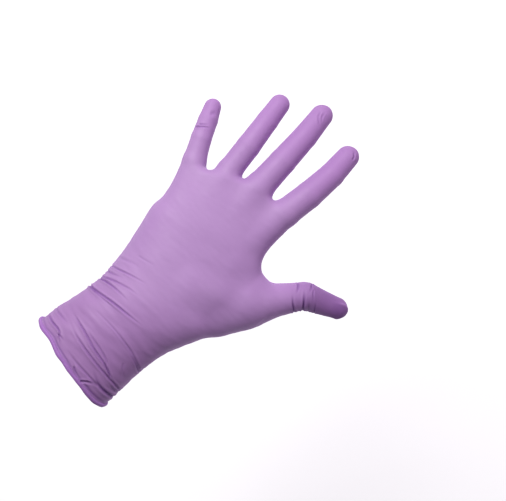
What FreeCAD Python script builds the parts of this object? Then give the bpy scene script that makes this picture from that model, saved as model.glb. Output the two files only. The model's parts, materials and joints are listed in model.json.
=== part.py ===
import FreeCAD, Part
import math
import os

# Disposable nitrile examination glove, size medium, in the shape it takes on an open left hand.
# Millimetres. Origin at the centre of the cuff's mouth, +Y towards the fingertips, +Z out of the
# back of the hand, +X towards the thumb.
#
# The glove is one dipped film with a rolled edge. It bends at the wrist and at the knuckles, so
# the film is divided there. At each knuckle the nearer zone ends in a round socket with a notch
# on the palm side, and the farther zone carries a thin round hood that turns inside the socket
# and keeps the film closed while the notch opens and shuts. Every zone is hollow and stays open
# to its neighbours, so that a hand can go in.

Vector = FreeCAD.Vector

# Film and running gap
FILM = 0.16
GAP = 0.3
HOOD_OVERLAP_DEG = 3.0

# Rolled edge of the cuff: how far it stands out of the film, and its height and rounding
BEAD_PROUD = 0.7
BEAD_HEIGHT = 1.6
BEAD_ROUNDING = 0.45

# Cuff and palm cross-sections: centre x, centre y, half width, half thickness, tilt about Z
RIM_SECTION = (0.0, 0.0, 36.4, 24.0, -8.0)
CUFF_SECTIONS = (
    RIM_SECTION,
    (0.5, 20.0, 34.5, 23.0, -3.0),
    (3.6, 38.0, 33.7, 22.0, 0.0),
    (6.0, 52.0, 34.5, 21.5, 0.0),
)
PALM_SECTIONS = (
    (6.0, 52.0, 34.5, 21.5, 0.0),
    (9.5, 70.0, 36.5, 19.0, 0.0),
    (9.0, 92.0, 40.0, 17.0, 0.0),
    (4.0, 118.0, 41.5, 15.0, 6.0),
    (-2.5, 157.0, 42.5, 11.0, 12.5),
)

# Wrist: the hinge's centre, the round socket a little inside the cuff, and the bend each way
WRIST = Vector(6.0, 52.0, 0.0)
WRIST_HALF_WIDTH = 34.0
WRIST_HALF_THICKNESS = 21.0
WRIST_BEND_DEG = 35.0

# Fingers: points are the root, the middle knuckle, the end knuckle and the centre of the tip.
# The palm end is where the finger's ridge starts in the palm. A closed fist just clears the palm.
FINGERS = {
    "little": {
        "points": ((-37.0, 152.5, 0.0), (-44.0, 166.0, 0.0), (-50.0, 178.0, -2.0), (-54.5, 186.5, -4.0)),
        "radii": (8.3, 7.4, 6.8, 6.5),
        "root_flex_deg": 45.0,
        "palm_end": (-27.0, 122.0, 0.0),
        "palm_radius": 10.5,
    },
    "ring": {
        "points": ((-17.2, 164.0, 1.5), (-19.5, 184.5, 1.5), (-23.0, 206.0, -1.0), (-25.0, 219.5, -4.0)),
        "radii": (8.9, 8.5, 7.7, 7.2),
        "root_flex_deg": 60.0,
        "palm_end": (-12.0, 124.0, 0.5),
        "palm_radius": 11.0,
    },
    "middle": {
        "points": ((5.0, 171.0, 2.0), (4.0, 194.0, 2.0), (2.5, 216.5, -1.0), (0.5, 235.0, -4.5)),
        "radii": (9.9, 9.3, 8.4, 7.7),
        "root_flex_deg": 60.0,
        "palm_end": (5.0, 126.0, 1.0),
        "palm_radius": 11.5,
    },
    "index": {
        "points": ((29.3, 170.0, 1.5), (32.0, 190.5, 1.5), (33.3, 211.0, -1.0), (32.8, 227.5, -4.0)),
        "radii": (9.9, 9.5, 8.3, 7.8),
        "root_flex_deg": 60.0,
        "palm_end": (24.0, 124.0, 0.5),
        "palm_radius": 11.5,
    },
}
FINGER_ZONES = ("base", "middle", "tip")
ROOT_EXTEND_DEG = 15.0
MIDDLE_FLEX_DEG = 90.0
TIP_FLEX_SHARE = 0.4
ROOT_SOCKET_DEG = 45.0
MIDDLE_SOCKET_DEG = 50.0
TIP_SOCKET_DEG = 40.0

# Thumb: points are the root, the knuckle and the centre of the tip
THUMB_POINTS = ((62.0, 120.5, -2.0), (77.5, 140.0, -4.0), (98.3, 149.3, -5.0))
THUMB_RADII = (12.4, 9.8, 7.8)
THUMB_PALM_END = (42.0, 88.0, -2.0)
THUMB_PALM_RADIUS = 16.0
THUMB_SWING_IN_DEG = 40.0
THUMB_SWING_OUT_DEG = 10.0
THUMB_ROOT_SOCKET_DEG = 30.0
THUMB_TIP_FLEX_DEG = 80.0
THUMB_TIP_EXTEND_DEG = 5.0
THUMB_TIP_SOCKET_DEG = 45.0
THUMB_TIP_TILT_DEG = 30.0

# Cutting wedges: steps around their outer edge, and their reach as a share of the digit's radius
WEDGE_STEPS = 8
WEDGE_REACH = 2.8
THUMB_ROOT_REACH = 1.45
WRIST_WEDGE_REACH = 250.0
WRIST_WEDGE_HALF_WIDTH = 105.0

BACK_OF_HAND = Vector(0, 0, 1)


def unit(vector):
    """The vector at length one."""
    copy = Vector(vector)
    copy.normalize()
    return copy


class Hinge:
    """A knuckle: its centre, its axis, and where its two zones end.

    Angles are in the plane across the axis, from the way the farther zone points (0 degrees)
    towards its back (90 degrees). Bending the joint turns the farther zone away from its back.
    """

    def __init__(self, centre, toward, axis, flex, extend, socket):
        self.centre = Vector(centre)
        self.axis = unit(axis)
        along = Vector(toward)
        self.forward = unit(along - self.axis * along.dot(self.axis))
        self.back = self.forward.cross(self.axis)
        self.near_back = 90 - socket
        self.near_front = 270 - flex / 2
        self.far_back = 90 - socket - extend
        self.far_front = -90 + flex / 2
        self.hood_back = 90 - socket + flex + HOOD_OVERLAP_DEG
        self.hood_front = 270 - flex / 2 - extend - HOOD_OVERLAP_DEG

    def direction(self, degrees):
        """The direction across the axis at this angle."""
        angle = math.radians(degrees)
        return self.forward * math.cos(angle) + self.back * math.sin(angle)

    def wedge(self, first, last, reach, half_width, inset=0.0):
        """A wedge of space between two angles, drawn back from both of its faces by inset."""
        half_angle = math.radians((last - first) / 2)
        middle = self.direction((first + last) / 2)
        apex = self.centre + middle * (inset / math.sin(half_angle))
        corners = [apex]
        for step in range(WEDGE_STEPS + 1):
            angle = first + (last - first) * step / WEDGE_STEPS
            corners.append(apex + self.direction(angle) * reach)
        start = self.axis * -half_width
        outline = Part.makePolygon([corner + start for corner in corners + [apex]])
        return Part.Face(outline).extrude(self.axis * (2 * half_width))


def capsule(start, end, start_radius, end_radius):
    """Two balls and the cone that touches both, turned as one profile."""
    start, end = Vector(start), Vector(end)
    length = (end - start).Length
    lean = math.asin((start_radius - end_radius) / length)

    def on_arc(centre, radius, angle):
        return Vector(radius * math.cos(angle), 0, centre + radius * math.sin(angle))

    low = on_arc(0, start_radius, -math.pi / 2)
    low_side = on_arc(0, start_radius, lean)
    high_side = on_arc(length, end_radius, lean)
    high = on_arc(length, end_radius, math.pi / 2)
    low_middle = on_arc(0, start_radius, (lean - math.pi / 2) / 2)
    high_middle = on_arc(length, end_radius, (lean + math.pi / 2) / 2)
    edges = [
        Part.Arc(low, low_middle, low_side).toShape(),
        Part.LineSegment(low_side, high_side).toShape(),
        Part.Arc(high_side, high_middle, high).toShape(),
        Part.LineSegment(high, low).toShape(),
    ]
    solid = Part.Face(Part.Wire(edges)).revolve(Vector(0, 0, 0), Vector(0, 0, 1), 360)
    solid.Placement = FreeCAD.Placement(start, FreeCAD.Rotation(Vector(0, 0, 1), end - start))
    return solid


def section_wire(section, shrink=0.0):
    """One oval cross-section of the cuff or palm."""
    x, y, half_width, half_thickness, tilt = section
    ellipse = Part.Ellipse(Vector(0, 0, 0), half_width - shrink, half_thickness - shrink)
    wire = Part.Wire(ellipse.toShape())
    wire.rotate(Vector(0, 0, 0), Vector(1, 0, 0), 90)
    wire.rotate(Vector(0, 0, 0), Vector(0, 0, 1), tilt)
    wire.translate(Vector(x, y, 0))
    return wire


def section_normal(section):
    """The direction a cross-section faces, towards the fingertips."""
    tilt = math.radians(section[4])
    return Vector(-math.sin(tilt), math.cos(tilt), 0)


def oval_loft(sections, shrink=0.0):
    """The closed solid through a row of oval cross-sections."""
    wires = [section_wire(section, shrink) for section in sections]
    return Part.makeLoft(wires, True, False)


def moved_section(section, distance):
    """The cross-section moved along the way it faces."""
    x, y, half_width, half_thickness, tilt = section
    step = section_normal(section) * distance
    return (x + step.x, y + step.y, half_width, half_thickness, tilt)


def wrist_ball(shrink=0.0):
    """The round body of the wrist: half an oval turned about the wrist's hinge."""
    half_width = WRIST_HALF_WIDTH - shrink
    oval = Part.Ellipse(Vector(0, 0, 0), half_width, WRIST_HALF_THICKNESS - shrink)
    arc = oval.toShape(0, math.pi)
    chord = Part.LineSegment(Vector(-half_width, 0, 0), Vector(half_width, 0, 0)).toShape()
    ball = Part.Face(Part.Wire([arc, chord])).revolve(Vector(0, 0, 0), Vector(1, 0, 0), 360)
    ball.translate(WRIST)
    return ball.toNurbs()


def one_solid(shape):
    """The shape's single solid, checked."""
    if len(shape.Solids) != 1:
        raise ValueError("expected one solid, found %d" % len(shape.Solids))
    solid = shape.Solids[0]
    if not solid.isValid():
        raise ValueError("the solid is not valid")
    return solid


def far_end(hinge, outer, inner, outer_ball, inner_ball, reach, half_width):
    """A zone that starts at a hinge: its film beyond the notch, and its hood inside the socket."""
    body = outer.common(hinge.wedge(hinge.far_front, hinge.far_back, reach, half_width, GAP))
    space = inner.common(hinge.wedge(hinge.far_front, hinge.far_back, reach, half_width, GAP + FILM))
    opening = hinge.wedge(hinge.hood_back, hinge.hood_front, reach, half_width)
    return body.fuse(outer_ball).cut(space.fuse(inner_ball)).cut(opening)


def near_end(hinge, shape, reach, half_width):
    """A zone that ends at a hinge, cut away where the far zone moves."""
    return shape.cut(hinge.wedge(hinge.near_front - 360, hinge.near_back, reach, half_width))


def digit_zone(start, end, start_radius, end_radius, start_hinge, end_hinge):
    """One hollow length of a finger or thumb, between two knuckles or up to the tip."""
    length = (Vector(end) - Vector(start)).Length
    reach = length + WEDGE_REACH * start_radius
    outer = capsule(start, end, start_radius, end_radius)
    inner = capsule(start, end, start_radius - FILM, end_radius - FILM)
    hood_radius = start_radius - FILM - GAP
    shape = far_end(
        start_hinge,
        outer,
        inner,
        Part.makeSphere(hood_radius, start_hinge.centre),
        Part.makeSphere(hood_radius - FILM, start_hinge.centre),
        reach,
        2 * start_radius,
    )
    if end_hinge is not None:
        shape = near_end(end_hinge, shape, WEDGE_REACH * end_radius, 2 * end_radius)
    return one_solid(shape)


def wrist_hinge():
    """The wrist bends alike both ways, so half of its notch is on each side."""
    half = WRIST_BEND_DEG / 2
    return Hinge(WRIST, Vector(0, 1, 0), Vector(-1, 0, 0), WRIST_BEND_DEG, WRIST_BEND_DEG, -half)


def finger_hinges(finger):
    """The root, middle and end knuckles of a finger."""
    root, middle, tip, end = [Vector(point) for point in finger["points"]]
    tip_flex = MIDDLE_FLEX_DEG * TIP_FLEX_SHARE
    plan = (
        (root, middle - root, finger["root_flex_deg"], ROOT_EXTEND_DEG, ROOT_SOCKET_DEG),
        (middle, unit(middle - root) + unit(tip - middle), MIDDLE_FLEX_DEG, 0, MIDDLE_SOCKET_DEG),
        (tip, unit(tip - middle) + unit(end - tip), tip_flex, 0, TIP_SOCKET_DEG),
    )
    hinges = []
    for centre, toward, flex, extend, socket in plan:
        hinges.append(Hinge(centre, toward, BACK_OF_HAND.cross(toward), flex, extend, socket))
    return hinges


def thumb_hinges():
    """The thumb's root, which swings it towards the index finger, and its knuckle."""
    root, knuckle, end = [Vector(point) for point in THUMB_POINTS]
    toward = knuckle - root
    swing_axis = BACK_OF_HAND - unit(toward) * BACK_OF_HAND.dot(unit(toward))
    swing = Hinge(root, toward, swing_axis, THUMB_SWING_IN_DEG, THUMB_SWING_OUT_DEG, THUMB_ROOT_SOCKET_DEG)
    across = unit(unit(toward) + unit(end - knuckle))
    side = unit(BACK_OF_HAND.cross(across))
    tilt = math.radians(THUMB_TIP_TILT_DEG)
    axis = side.cross(across) * -math.cos(tilt) + side * math.sin(tilt)
    bend = Hinge(knuckle, across, axis, THUMB_TIP_FLEX_DEG, THUMB_TIP_EXTEND_DEG, THUMB_TIP_SOCKET_DEG)
    return [swing, bend]


def make_finger(name, finger, hinges):
    """The three zones of one finger."""
    points = finger["points"]
    radii = finger["radii"]
    ends = hinges[1:] + [None]
    zones = {}
    for index, part in enumerate(FINGER_ZONES):
        zones[name + "_" + part] = digit_zone(
            points[index], points[index + 1], radii[index], radii[index + 1], hinges[index], ends[index]
        )
    return zones


def make_thumb(hinges):
    """The two zones of the thumb."""
    swing, bend = hinges
    root, knuckle, end = THUMB_POINTS
    root_radius, knuckle_radius, end_radius = THUMB_RADII
    return {
        "thumb_base": digit_zone(root, knuckle, root_radius, knuckle_radius, swing, bend),
        "thumb_tip": digit_zone(knuckle, end, knuckle_radius, end_radius, bend, None),
    }


def make_cuff(wrist):
    """The cuff, from the mouth to the wrist's socket."""
    outer = oval_loft(CUFF_SECTIONS).fuse(wrist_ball())
    first = moved_section(CUFF_SECTIONS[0], -FILM)
    last = moved_section(CUFF_SECTIONS[-1], -FILM)
    inner = oval_loft([first] + list(CUFF_SECTIONS[1:-1]) + [last], FILM).fuse(wrist_ball(FILM))
    film = outer.cut(inner)
    return one_solid(near_end(wrist, film, WRIST_WEDGE_REACH, WRIST_WEDGE_HALF_WIDTH))


def make_bead():
    """The rolled edge of the mouth, a rounded oval ring that the film runs into."""
    x, y, half_width, half_thickness, tilt = RIM_SECTION
    proud = (x, y, half_width + BEAD_PROUD, half_thickness + BEAD_PROUD, tilt)
    step = section_normal(RIM_SECTION) * -BEAD_HEIGHT
    outer = Part.Face(section_wire(proud)).extrude(step)
    inner = Part.Face(section_wire(RIM_SECTION, FILM + BEAD_PROUD)).extrude(step)
    ring = outer.cut(inner)
    rims = [edge for edge in ring.Edges if edge.isClosed()]
    return one_solid(ring.makeFillet(BEAD_ROUNDING, rims))


def palm_form(shrink):
    """The palm with the four finger stubs and the ball of the thumb, all drawn in by shrink."""
    last = moved_section(PALM_SECTIONS[-1], -shrink)
    form = oval_loft(list(PALM_SECTIONS[:-1]) + [last], shrink)
    stubs = []
    for finger in FINGERS.values():
        stubs.append(
            capsule(
                finger["palm_end"],
                finger["points"][0],
                finger["palm_radius"] - shrink,
                finger["radii"][0] - shrink,
            )
        )
    stubs.append(
        capsule(THUMB_PALM_END, THUMB_POINTS[0], THUMB_PALM_RADIUS - shrink, THUMB_RADII[0] - shrink)
    )
    for stub in stubs:
        form = form.fuse(stub)
    return form


def make_palm(wrist, roots):
    """The palm and back of the hand, from the wrist's hood to the sockets of the five digits."""
    hood_shrink = FILM + GAP
    shape = far_end(
        wrist,
        palm_form(0.0),
        palm_form(FILM),
        wrist_ball(hood_shrink),
        wrist_ball(hood_shrink + FILM),
        WRIST_WEDGE_REACH,
        WRIST_WEDGE_HALF_WIDTH,
    )
    for hinge, radius, reach in roots:
        shape = near_end(hinge, shape, reach * radius, radius + 2 * GAP)
    return one_solid(shape)


def describe(name, hinge):
    """One line with a hinge's centre and axis."""
    centre = tuple(round(value, 3) for value in hinge.centre)
    axis = tuple(round(value, 5) for value in hinge.axis)
    print(name, centre, axis)


def main():
    os.makedirs("parts", exist_ok=True)
    wrist = wrist_hinge()
    thumb = thumb_hinges()
    describe("wrist", wrist)
    describe("thumb_base", thumb[0])
    describe("thumb_tip", thumb[1])
    roots = [(thumb[0], THUMB_RADII[0], THUMB_ROOT_REACH)]
    nodes = {"cuff": make_cuff(wrist), "cuff_bead": make_bead()}
    for name, finger in FINGERS.items():
        hinges = finger_hinges(finger)
        roots.append((hinges[0], finger["radii"][0], WEDGE_REACH))
        for part, hinge in zip(FINGER_ZONES, hinges):
            describe(name + "_" + part, hinge)
        nodes.update(make_finger(name, finger, hinges))
    nodes.update(make_thumb(thumb))
    nodes["palm"] = make_palm(wrist, roots)
    for name, shape in nodes.items():
        shape.exportStep("parts/" + name + ".step")


main()
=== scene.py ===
import json
import math

import bmesh
import bpy
import numpy as np
from mathutils import Matrix, Vector, noise


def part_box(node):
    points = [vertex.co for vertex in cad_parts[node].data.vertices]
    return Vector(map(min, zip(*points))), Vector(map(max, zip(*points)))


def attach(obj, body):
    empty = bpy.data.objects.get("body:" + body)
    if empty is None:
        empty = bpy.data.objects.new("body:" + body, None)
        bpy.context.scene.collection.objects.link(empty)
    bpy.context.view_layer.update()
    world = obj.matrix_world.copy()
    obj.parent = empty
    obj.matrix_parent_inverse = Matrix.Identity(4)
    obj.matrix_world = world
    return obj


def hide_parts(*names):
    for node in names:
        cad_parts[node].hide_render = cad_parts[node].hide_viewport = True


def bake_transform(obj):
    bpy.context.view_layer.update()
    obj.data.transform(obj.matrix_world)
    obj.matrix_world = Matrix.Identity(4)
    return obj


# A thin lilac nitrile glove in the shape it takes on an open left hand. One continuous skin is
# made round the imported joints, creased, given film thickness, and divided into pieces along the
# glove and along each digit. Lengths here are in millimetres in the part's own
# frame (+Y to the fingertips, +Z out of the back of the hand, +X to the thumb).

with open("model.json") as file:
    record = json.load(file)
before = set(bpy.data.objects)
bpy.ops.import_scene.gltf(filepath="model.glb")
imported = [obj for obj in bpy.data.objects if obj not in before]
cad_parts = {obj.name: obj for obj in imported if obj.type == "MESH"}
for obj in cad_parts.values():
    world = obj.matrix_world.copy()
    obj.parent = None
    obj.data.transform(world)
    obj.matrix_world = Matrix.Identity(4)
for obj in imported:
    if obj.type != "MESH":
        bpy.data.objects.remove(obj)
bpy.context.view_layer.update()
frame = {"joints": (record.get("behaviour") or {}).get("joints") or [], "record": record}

MM = 0.001

# The grid's spacing, the film's thickness, a shift that keeps the noise off its zero planes, and
# a distance that is more than any other
CELL = 0.6
FILM = 0.16
SEED_SHIFT = Vector((37.3, 11.9, 53.1))
FAR = 1e9

JOINTS = {joint["name"]: joint for joint in frame["joints"]}
RIM_NORMAL = -np.array(frame["record"]["mounts"][0]["axis"])

# Digits: the joints along each, the bodies they join, the radius at each joint and at the centre
# of the tip, and how far those places are shifted from the imported joints. The knuckle is where the
# digit's ridge starts in the palm, set back from its root. The nail has the height of its plate,
# the height of its edge, and how dark the film is painted over the digit's end: over the nail, and
# on the thumb also painted shade where its end turns away from the light.
DIGITS = {
    "little": {
        "joints": ("little_root_flex", "little_middle_flex", "little_tip_flex"),
        "bodies": ("palm", "little_base", "little_middle", "little_tip"),
        "radii": (7.8, 7.0, 6.7, 5.8),
        "shifts": ((-1.2, 0.0, 0.0), (-1.7, 0.4, 0.0), (-1.4, 0.4, 0.0), (-0.5, -0.2, 0.0)),
        "knuckle": (10.6, -25.0, -1.0),
        "knuckle_radius": 8.6,
        "nail": (0.25, 0.12, 0.0),
    },
    "ring": {
        "joints": ("ring_root_flex", "ring_middle_flex", "ring_tip_flex"),
        "bodies": ("palm", "ring_base", "ring_middle", "ring_tip"),
        "radii": (8.3, 8.1, 7.4, 6.9),
        "shifts": ((0.2, 0.0, 0.0), (0.0, 0.0, 0.0), (0.2, 0.0, 0.0), (0.4, 0.0, 0.0)),
        "knuckle": (4.0, -27.0, -1.5),
        "knuckle_radius": 9.0,
        "nail": (0.22, 0.10, 0.0),
    },
    "middle": {
        "joints": ("middle_root_flex", "middle_middle_flex", "middle_tip_flex"),
        "bodies": ("palm", "middle_base", "middle_middle", "middle_tip"),
        "radii": (9.7, 9.0, 8.3, 7.6),
        "shifts": ((-0.2, 0.0, 0.0), (-0.2, 0.0, 0.0), (0.0, 0.0, 0.0), (0.0, -0.7, 0.0)),
        "knuckle": (1.0, -28.0, -2.0),
        "knuckle_radius": 9.6,
        "nail": (0.30, 0.35, 0.0),
    },
    "index": {
        "joints": ("index_root_flex", "index_middle_flex", "index_tip_flex"),
        "bodies": ("palm", "index_base", "index_middle", "index_tip"),
        "radii": (9.5, 9.3, 8.5, 7.7),
        "shifts": ((0.0, 0.0, 0.0), (0.0, 0.0, 0.0), (0.0, 0.0, 0.0), (-0.3, -0.4, 0.0)),
        "knuckle": (-3.0, -27.0, -1.5),
        "knuckle_radius": 9.6,
        "nail": (0.28, 0.32, 0.0),
    },
    "thumb": {
        "joints": ("thumb_swing", "thumb_tip_flex"),
        "bodies": ("palm", "thumb_base", "thumb_tip"),
        "radii": (12.2, 9.4, 7.4),
        "shifts": ((0.4, -0.9, -2.6), (-0.2, -0.2, -2.6), (1.4, 0.8, -7.0)),
        "knuckle": (-14.0, -29.0, -1.5),
        "knuckle_radius": 12.0,
        "nail": (0.35, 0.80, 0.80),
    },
}

# Cuff, wrist and palm: place along the glove, and the edge or half thickness there
ULNAR_EDGE = (
    (-18, -37.4), (4, -36.4), (20, -33.6), (38, -29.6), (52, -27.2), (66, -24.9),
    (80, -25.9), (95, -29.7), (110, -34.0), (128, -36.0), (143, -37.8), (160, -43.6),
)
THUMB_EDGE = (
    (-18, 34.5), (10, 35.0), (28, 35.8), (42, 37.4), (52, 39.2), (62, 43.6), (75, 50.4),
    (95, 46.5), (115, 45.0), (130, 44.0), (138, 40.8), (146, 38.2), (160, 36.8), (180, 37.0),
)
BACK_THICKNESS = (
    (-18, 24.0), (20, 23.0), (45, 21.4), (60, 20.2), (80, 17.8), (105, 16.0), (130, 14.8),
    (150, 12.6), (165, 10.6),
)
PALM_THICKNESS = (
    (-18, 24.0), (20, 23.0), (45, 21.0), (60, 19.0), (80, 14.5), (105, 12.6), (130, 12.6),
    (150, 11.2), (165, 9.2),
)

# How slack the film is along the glove: 1 where it hangs loose round the cuff
SLACK = ((-18, 1.0), (40, 1.0), (66, 0.6), (88, 0.28), (148, 0.22), (172, 0.08))

# The power of the sections' oval outline along the glove: 2 is a plain oval
ROUNDNESS = ((-18, 2.0), (55, 2.05), (90, 2.35), (150, 2.5))

# Where the palm ends, between the fingers: place across the glove, and place along it
WEB_LINE = (
    (-60, 146), (-44, 149), (-28, 154.0), (-17, 160.5), (-7, 166.0), (6, 169.5), (17, 171.0),
    (28, 168.0), (42, 160.0),
)

# Mounds under the skin: two ends, their radii, and how widely they run into the rest. In order:
# ball of the thumb (two), heel of the hand, thumb's pad, thumb's crotch, and the web behind it.
MOUNDS = (
    ((28, 58, -4), (38, 84, -6), 12.0, 12.6, 9.0),
    ((38, 84, -6), (55, 109, -6.5), 12.6, 14.0, 6.0),
    ((-17, 66, -7), (-25, 112, -5), 10.5, 11.0, 10.0),
    ((80, 142.4, -6), (94.5, 148.0, -11.0), 9.0, 7.6, 3.0),
    ((30, 121, -1), (47, 122.0, -2), 10.0, 8.6, 9.0),
    ((20, 92, 4.0), (50, 110, 0.2), 8.0, 9.3, 13.0),
)

# Creases in the film: side, depth, half width, the share of the length over which the end runs
# out, and the points along it
BACK, FRONT = 1.0, -1.0
CREASES = (
    # the wrist, from its little finger side
    (BACK, 0.95, 0.55, 0.45, (
        (-34, 43.6), (-29, 44.8), (-22, 46.8), (-14, 48.8), (-7, 50.4), (6, 51.8), (18, 53),
    )),
    (BACK, 0.80, 0.55, 0.8, ((-34, 43.0), (-26, 45.0), (-19, 46.4), (-13, 47.2), (-3, 48.3))),
    (BACK, 0.90, 0.50, 0.6, (
        (-34, 48.5), (-28, 52.2), (-23, 55.0), (-16.5, 56.8), (-10, 57.5), (-1, 57.6),
    )),
    (BACK, 0.65, 0.52, 0.7, ((-33, 50.0), (-27, 54.2), (-20.5, 58.9), (-12, 62.2), (-5, 64.2), (4, 65))),
    (BACK, 0.70, 0.55, 0.9, ((-32, 57.0), (-28, 59.2), (-23, 61.6), (-18, 64.0), (-13, 66))),
    (BACK, 0.60, 0.50, 0.7, ((-32, 62.0), (-28, 64.0), (-21, 66.8), (-15, 69.4), (-9, 71.4), (0, 74))),
    (BACK, 0.12, 0.60, 0.9, ((-19, 82.2), (-12, 83.8), (-4, 86.6))),
    (BACK, 0.20, 0.90, 0.9, ((-29, 71.0), (-19, 76.0), (-10, 78.6))),
    # across the cuff, running out towards the little finger side
    (BACK, 0.50, 0.52, 0.9, (
        (36, 28.4), (34.4, 29.6), (28, 33.6), (22, 36.0), (15, 37.6), (7, 38.8), (-6, 39.2),
        (-20, 37.8),
    )),
    (BACK, 0.60, 0.55, 0.7, ((37, 25.5), (35, 27.6), (31, 30.6), (25.6, 33.4), (18, 35.8))),
    (BACK, 0.80, 0.54, 0.3, (
        (26, 13.6), (18.7, 17.4), (15, 18.8), (5, 20.8), (0, 22.4), (-6, 24.0), (-12, 25.2),
        (-24, 26.6),
    )),
    (BACK, 0.40, 0.54, 0.5, ((18, 18.8), (14, 21.6), (8, 23.4), (0, 25.0), (-10, 26.2))),
    (BACK, 0.60, 0.62, 0.5, (
        (36, 9.2), (30, 12.0), (23.5, 13.2), (17.6, 14.2), (5, 16.2), (-6, 18.0), (-14, 19.8),
        (-22, 22),
    )),
    (BACK, 0.40, 0.65, 0.6, ((-36, 18.0), (-26, 19.4), (-18, 19.4))),
    (BACK, 0.40, 0.66, 0.6, ((24, 5.0), (16, 5.8), (6, 6.4), (-2, 7.0), (-10, 8.6))),
    (BACK, 0.18, 0.60, 0.8, ((24, 26.8), (27.5, 22.0), (32, 18.0))),
    # loose folds beside the rolled edge
    (BACK, 0.85, 0.60, 0.5, (
        (-34, 12.4), (-27, 12.0), (-21, 12.4), (-18.4, 11.2), (-16.6, 8.0), (-12, 5.0),
    )),
    (BACK, 0.60, 0.55, 0.8, ((-19.5, 9.4), (-16.0, 10.4), (-13, 9.6))),
    (BACK, 0.70, 0.60, 0.8, ((3, 4.0), (6.6, 1.8), (10.6, 0.4), (14, -0.6))),
    (BACK, 0.55, 0.65, 0.6, ((12.6, -0.6), (16.5, 3.2), (22, 4.6))),
    (BACK, 1.20, 0.75, 0.9, (
        (37, 2.6), (33.4, 3.8), (29.4, 4.8), (25.6, 5.2), (21.4, 6.4), (18, 8.2), (12, 11.4),
    )),
    (BACK, 0.60, 0.60, 0.8, ((36, 7.6), (31, 8.4), (27, 10.6))),
    # the thumb, across its knuckle, and the crotch side of its root
    (BACK, 0.70, 0.60, 0.7, ((82.0, 127.4), (77.6, 130.2), (73.4, 133.6), (70.5, 137.0))),
    (BACK, 0.85, 0.62, 0.7, ((85.8, 131.0), (80.8, 137.0), (76.4, 142.0), (73.6, 145.0))),
    (BACK, 0.40, 0.50, 0.8, ((88.6, 133.6), (84.0, 138.8), (79.8, 143.0))),
    (BACK, 0.55, 0.50, 0.8, ((92.4, 135.6), (88.2, 140.4), (84.6, 144.6))),
    (BACK, 0.35, 0.55, 0.8, ((79.0, 148.0), (82.0, 144.6), (85.6, 141.6))),
    (BACK, 0.70, 0.60, 0.9, ((68.4, 144.4), (71.4, 141.0), (73.4, 137.0))),
    (BACK, 0.60, 0.60, 0.9, ((75.4, 150.8), (77.6, 147.4), (78.8, 144.0))),
    # fingertips, beside the nails, and the little finger's last joint
    (BACK, 0.24, 0.55, 0.4, ((-1.6, 234.6), (-0.4, 231.6), (2.0, 229.4), (4.8, 227.6))),
    (BACK, 0.20, 0.55, 0.4, ((0.8, 235.8), (1.6, 232.6), (4.0, 230.0))),
    (BACK, 0.34, 0.55, 0.4, ((33.0, 231.4), (34.8, 230.0), (35.8, 228.2), (35.9, 226.0))),
    (BACK, 0.22, 1.30, 0.5, ((-52.4, 182.2), (-50.2, 186.0))),
    (BACK, 0.55, 0.50, 0.6, ((-54.0, 168.6), (-50.0, 172.0), (-45.0, 175.6))),
    (BACK, 0.35, 0.50, 0.6, ((-53.0, 171.6), (-47.0, 176.8))),
    # the palm side: wrist, cuff and the creases of the palm
    (FRONT, 0.80, 0.80, 0.4, ((-33, 50.0), (8, 54.0), (42, 50.0))),
    (FRONT, 0.60, 0.70, 0.4, ((-33, 56.0), (6, 60.4), (30, 59.0))),
    (FRONT, 0.60, 0.70, 0.5, ((42, 44.0), (10, 47.6), (-20, 43.0))),
    (FRONT, 0.80, 0.80, 0.5, ((-37, 24.0), (-10, 19.0), (22, 21.0))),
    (FRONT, 0.90, 0.80, 0.6, ((36, 12.0), (8, 8.4), (-22, 13.0))),
    (FRONT, 0.50, 0.80, 0.6, ((-34, 34.0), (-4, 30.0), (26, 33.0))),
    (FRONT, 0.42, 1.10, 0.6, ((38, 138.0), (22, 128.0), (13, 109.0), (15, 86.0))),
    (FRONT, 0.32, 1.10, 0.6, ((38, 141.0), (14, 134.0), (-20, 117.0))),
    (FRONT, 0.38, 1.10, 0.6, ((-42, 130.0), (-16, 137.0), (8, 153.0))),
)

# A crease's profile: how far off the fold beside it stands and how wide it is, in half widths of
# the groove, its height against the groove, and how far out the crease is worked out
FOLD_PLACE, FOLD_WIDTH, FOLD_HEIGHT = 2.0, 1.1, 0.4
CREASE_REACH = 4.5
CREASE_GAIN = 1.7
RUN_IN = 0.06

# Creases fade where the film turns away from their side: how far round they go, the fade, and how
# far round the film is looked at
ROUND_THE_EDGE = {BACK: 0.12, FRONT: -0.08}
EDGE_FADE = 0.4
LEAST_FACING = -0.3

# Creases across the palm side of the finger joints: depth, half width and run-out, how far each
# bows to the fingertip, and how far past the root the first one is
JOINT_CREASE = (0.36, 1.15, 0.4)
JOINT_CREASE_BOW = 0.8
ROOT_CREASE_SHIFT = 2.5

# Nails, as shares of the tip's radius: how far the middle is turned to the thumb's side, half the
# length and half the width. Then the power of the outline, and where its plate and edge lie in it.
NAIL_TURN = 0.22
NAIL_LENGTH, NAIL_WIDTH = 0.86, 0.72
NAIL_POWER = 2.6
PLATE_EDGE, PLATE_FADE = 1.10, 0.30
BRIM_PLACE, BRIM_WIDTH = 1.02, 0.13
# Painted shade over a digit's end: how far before its last joint it starts, and the length over which it
# comes in
NAIL_SHADE_START, NAIL_SHADE_LENGTH = 22.0, 42.0

# Slack folds: the noise's fineness across, along and through the glove, and the height of each
BROAD_FOLDS, BROAD_HEIGHT = (0.040, 0.095, 0.045), 0.8
NARROW_FOLDS, NARROW_HEIGHT = (0.075, 0.27, 0.08), 0.38
FINE_FOLDS, FINE_HEIGHT = (0.22, 0.42, 0.22), 0.05
NARROW_SHIFT = 9

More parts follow.
